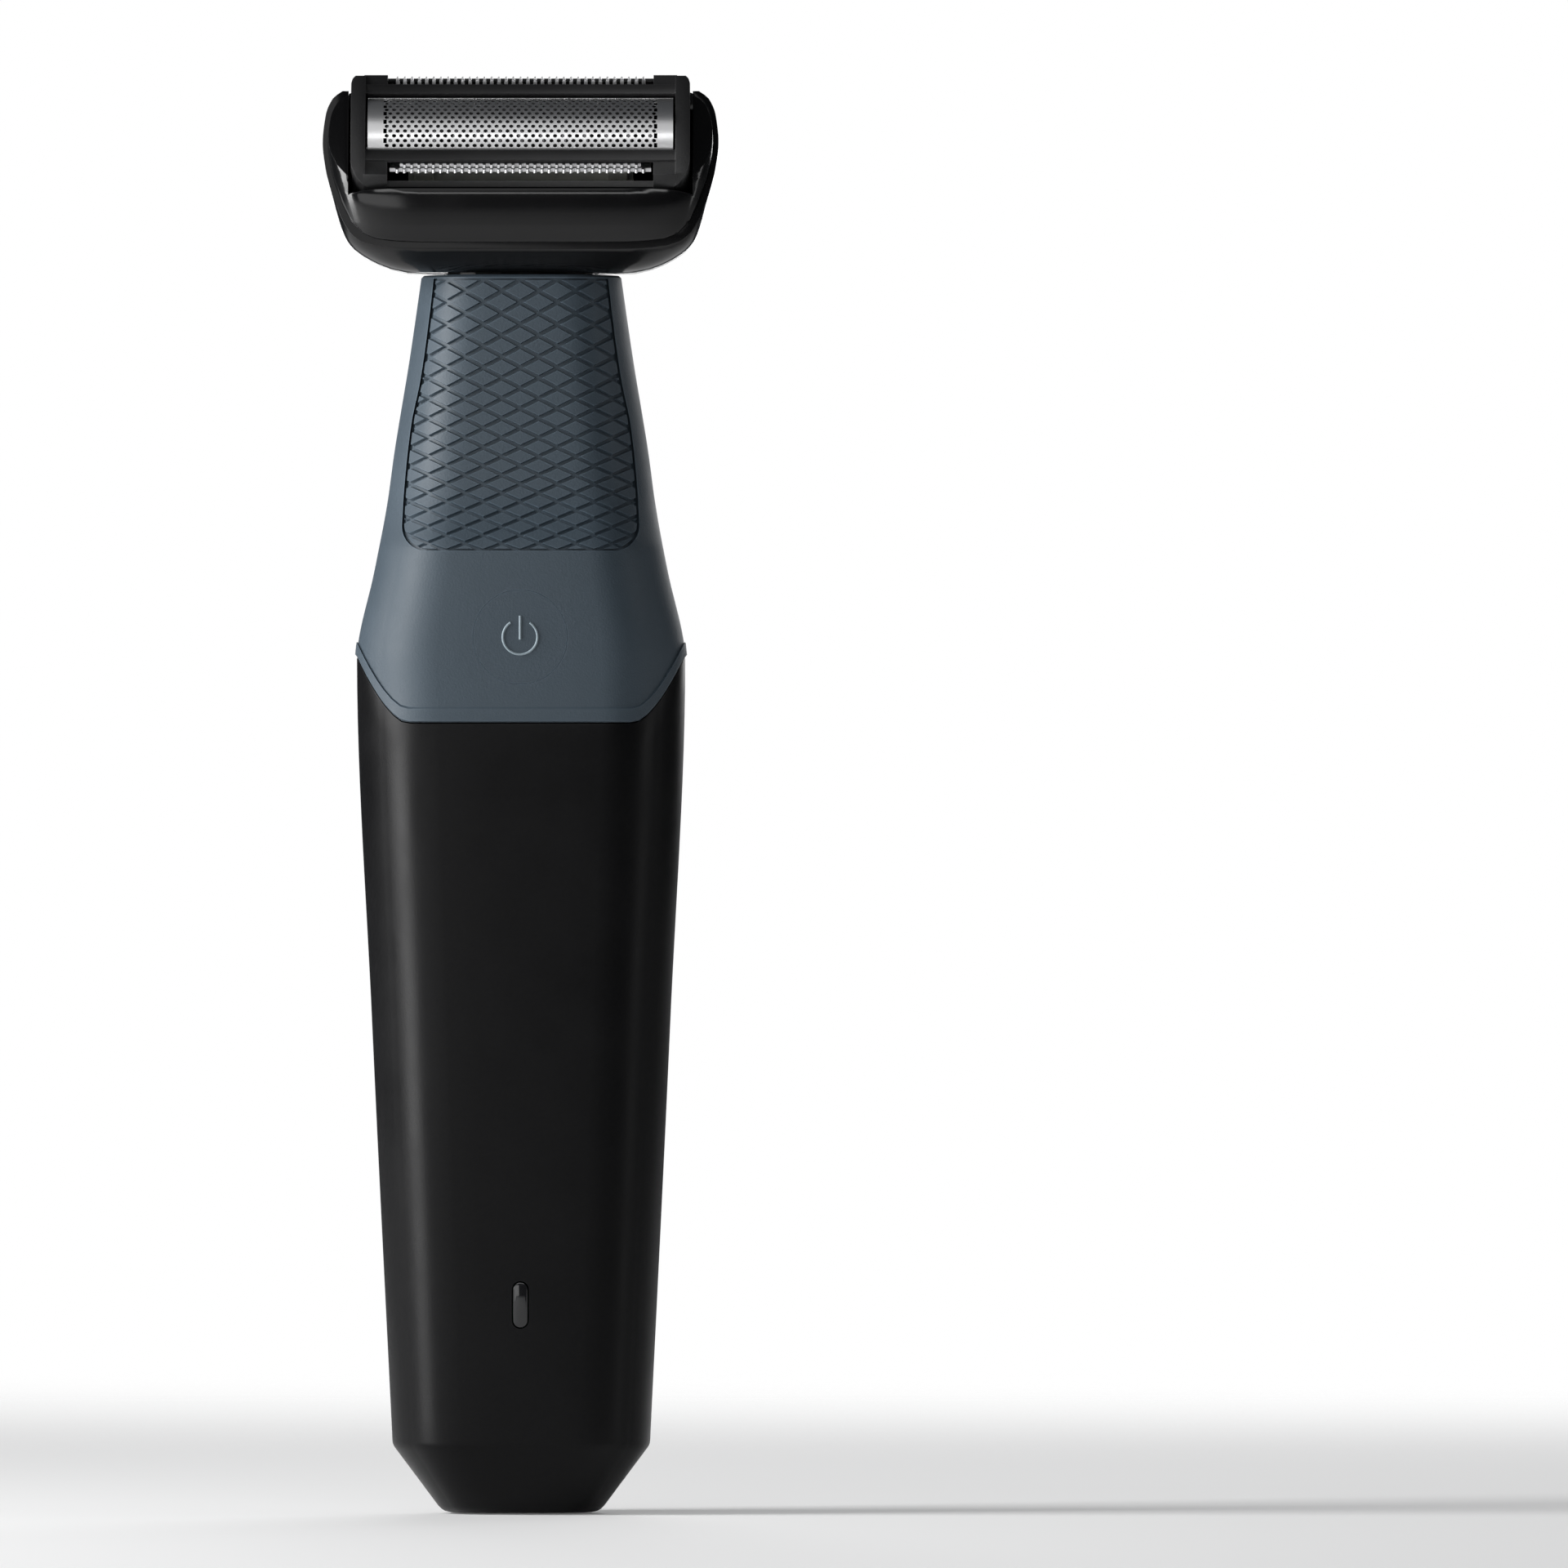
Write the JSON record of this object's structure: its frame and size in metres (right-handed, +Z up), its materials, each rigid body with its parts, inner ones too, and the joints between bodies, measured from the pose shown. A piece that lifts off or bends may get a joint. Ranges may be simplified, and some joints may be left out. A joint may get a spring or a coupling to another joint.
{
  "type": "body groomer",
  "caption": "Upright cordless body groomer: faceted handle with a textured rubber grip, power button and a floating foil head with a toothed trimmer on each side.",
  "frame": {"origin": "centre of the flat base under the handle", "axes": "+Z up from the base to the shaving head, the front of the handle faces -Y, X across"},
  "size_m": [0.0504, 0.0324, 0.183],
  "materials": {
    "satin_black": "satin",
    "grip_rubber": "soft matte",
    "gloss_black": "gloss",
    "cassette_black": "fine matte",
    "lens_black": "gloss",
    "foil_steel": "polished",
    "blade_steel": "ground",
    "fastener_steel": "plated",
    "natural_plastic": "moulded",
    "seal_rubber": "matte",
    "board_green": "solder mask",
    "cell_wrap": "shrink film"
  },
  "bodies": {
    "handle": {"lower_housing": "satin_black", "soft_grip": "grip_rubber", "grip_core": "cassette_black", "seam_seal": "seal_rubber", "neck_seal": "seal_rubber", "charge_inlet": "cassette_black", "inlet_pin_left": "fastener_steel", "inlet_pin_right": "fastener_steel", "inlet_seal": "seal_rubber", "battery_cell": "cell_wrap", "battery_tab_negative": "fastener_steel", "battery_tab_positive": "fastener_steel", "chassis": "natural_plastic", "chassis_screw_left": "fastener_steel", "chassis_screw_right": "fastener_steel", "circuit_board": "board_green", "tact_switch": "fastener_steel", "control_chip": "seal_rubber", "charge_led": "natural_plastic", "light_pipe": "lens_black", "motor_can": "fastener_steel", "motor_end_cap": "natural_plastic", "motor_bracket": "fastener_steel", "motor_screw_left": "fastener_steel", "motor_screw_right": "fastener_steel", "neck_collar": "cassette_black", "lever_pin": "fastener_steel"},
    "rotor": {"motor_armature": "fastener_steel", "motor_shaft": "fastener_steel", "eccentric_cam": "natural_plastic"},
    "lever": {"swing_lever": "natural_plastic"},
    "power_button": {"button_cap": "grip_rubber", "button_plunger": "natural_plastic"},
    "head": {"head_housing": "gloss_black", "head_bezel": "gloss_black", "head_latch_left": "fastener_steel", "head_latch_right": "fastener_steel", "cassette_spring_left": "fastener_steel", "cassette_spring_right": "fastener_steel"},
    "cassette": {"cassette_frame": "cassette_black", "shaving_foil": "foil_steel", "upper_trimmer_comb": "blade_steel", "lower_trimmer_comb": "blade_steel"},
    "cutter": {"foil_cutter": "blade_steel", "cutter_carrier": "natural_plastic", "upper_trimmer_blade": "blade_steel", "lower_trimmer_blade": "blade_steel"}
  },
  "joints": [
    {"name": "power_press", "type": "slide", "parent": "handle", "child": "power_button", "axis": [0, 1, 0], "range_m": [0, 0.0007], "stiffness_N_per_m": 900},
    {"name": "motor_spin", "type": "hinge", "parent": "handle", "child": "rotor", "pos_m": [0, 0.0012, 0.13], "axis": [0, 0, 1], "continuous": true},
    {"name": "lever_swing", "type": "hinge", "parent": "handle", "child": "lever", "pos_m": [0, 0, 0.1566], "axis": [0, 1, 0], "range_deg": [-5.6, 5.6]},
    {"name": "head_release", "type": "slide", "parent": "handle", "child": "head", "axis": [0, 0, 1], "range_m": [0, 0.025]},
    {"name": "cassette_float", "type": "slide", "parent": "head", "child": "cassette", "axis": [0, 0.866, -0.5], "range_m": [0, 0.0012], "stiffness_N_per_m": 500, "deforming": ["cassette_spring_left", "cassette_spring_right"]},
    {"name": "cutter_stroke", "type": "slide", "parent": "cassette", "child": "cutter", "axis": [1, 0, 0], "range_m": [-0.001, 0.001]}
  ],
  "couplings": [
    {"joint": "lever_swing", "follows": "cutter_stroke", "rad_per_m": 96.154}
  ]
}
